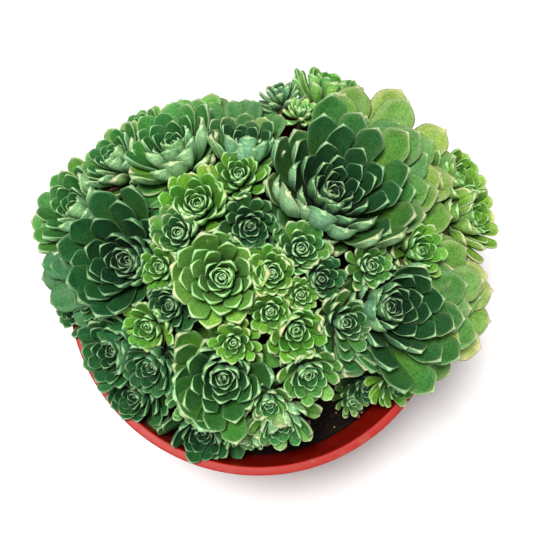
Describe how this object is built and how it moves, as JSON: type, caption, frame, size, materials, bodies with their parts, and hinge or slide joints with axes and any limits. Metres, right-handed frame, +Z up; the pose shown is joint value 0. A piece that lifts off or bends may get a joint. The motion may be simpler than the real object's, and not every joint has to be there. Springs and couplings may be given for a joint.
{
  "type": "potted rosularia",
  "caption": "Clump of green fleshy-leaved rosettes crowding over the rim of a tapered round red plastic pot with drain holes.",
  "frame": {"origin": "middle of the pot's flat underside", "axes": "+Z up along the pot's axis; -Y towards the side where the soil shows inside the rim"},
  "size_m": [0.1535, 0.1361, 0.1695],
  "materials": {
    "pot_plastic": "satin, scuffed",
    "potting_mix": "rough, crumbly",
    "leaf_dark": "velvety",
    "leaf_mid": "velvety",
    "leaf_bright": "velvety",
    "leaf_pale": "velvety",
    "leaf_olive": "velvety"
  },
  "bodies": {
    "root": {"pot": "pot_plastic", "soil": "potting_mix", "rosette_crown_back": "leaf_dark", "rosette_right": "leaf_dark", "rosette_front": "leaf_mid", "rosette_left": "leaf_dark", "rosette_centre": "leaf_pale", "rosette_back_left": "leaf_mid", "rosette_left_edge": "leaf_mid", "rosette_back_left_edge": "leaf_mid", "rosette_back": "leaf_dark", "rosette_crown_left": "leaf_bright", "rosette_front_edge": "leaf_dark", "rosette_back_edge": "leaf_bright", "rosette_right_edge_1": "leaf_olive", "rosette_right_edge_2": "leaf_olive", "rosette_front_left_1": "leaf_dark", "rosette_front_left_2": "leaf_dark", "rosette_front_right_1": "leaf_bright", "rosette_front_right_2": "leaf_mid", "offset_crown_1": "leaf_mid", "offset_crown_2": "leaf_bright", "offset_crown_3": "leaf_dark", "offset_crown_4": "leaf_mid", "offset_crown_5": "leaf_bright", "offset_crown_6": "leaf_dark", "offset_crown_7": "leaf_bright", "offset_crown_8": "leaf_bright", "offset_front_1": "leaf_mid", "offset_front_2": "leaf_dark", "offset_front_3": "leaf_bright", "offset_front_4": "leaf_mid", "offset_front_5": "leaf_mid", "offset_front_6": "leaf_dark", "offset_front_7": "leaf_pale", "offset_front_8": "leaf_bright", "offset_left_1": "leaf_dark", "offset_left_2": "leaf_bright", "offset_left_3": "leaf_bright", "offset_left_4": "leaf_mid", "offset_left_5": "leaf_mid", "offset_left_6": "leaf_mid", "offset_left_7": "leaf_dark", "offset_right_1": "leaf_mid", "offset_right_2": "leaf_bright", "offset_back_1": "leaf_mid", "offset_back_2": "leaf_pale", "offset_back_3": "leaf_mid"}
  },
  "joints": []
}
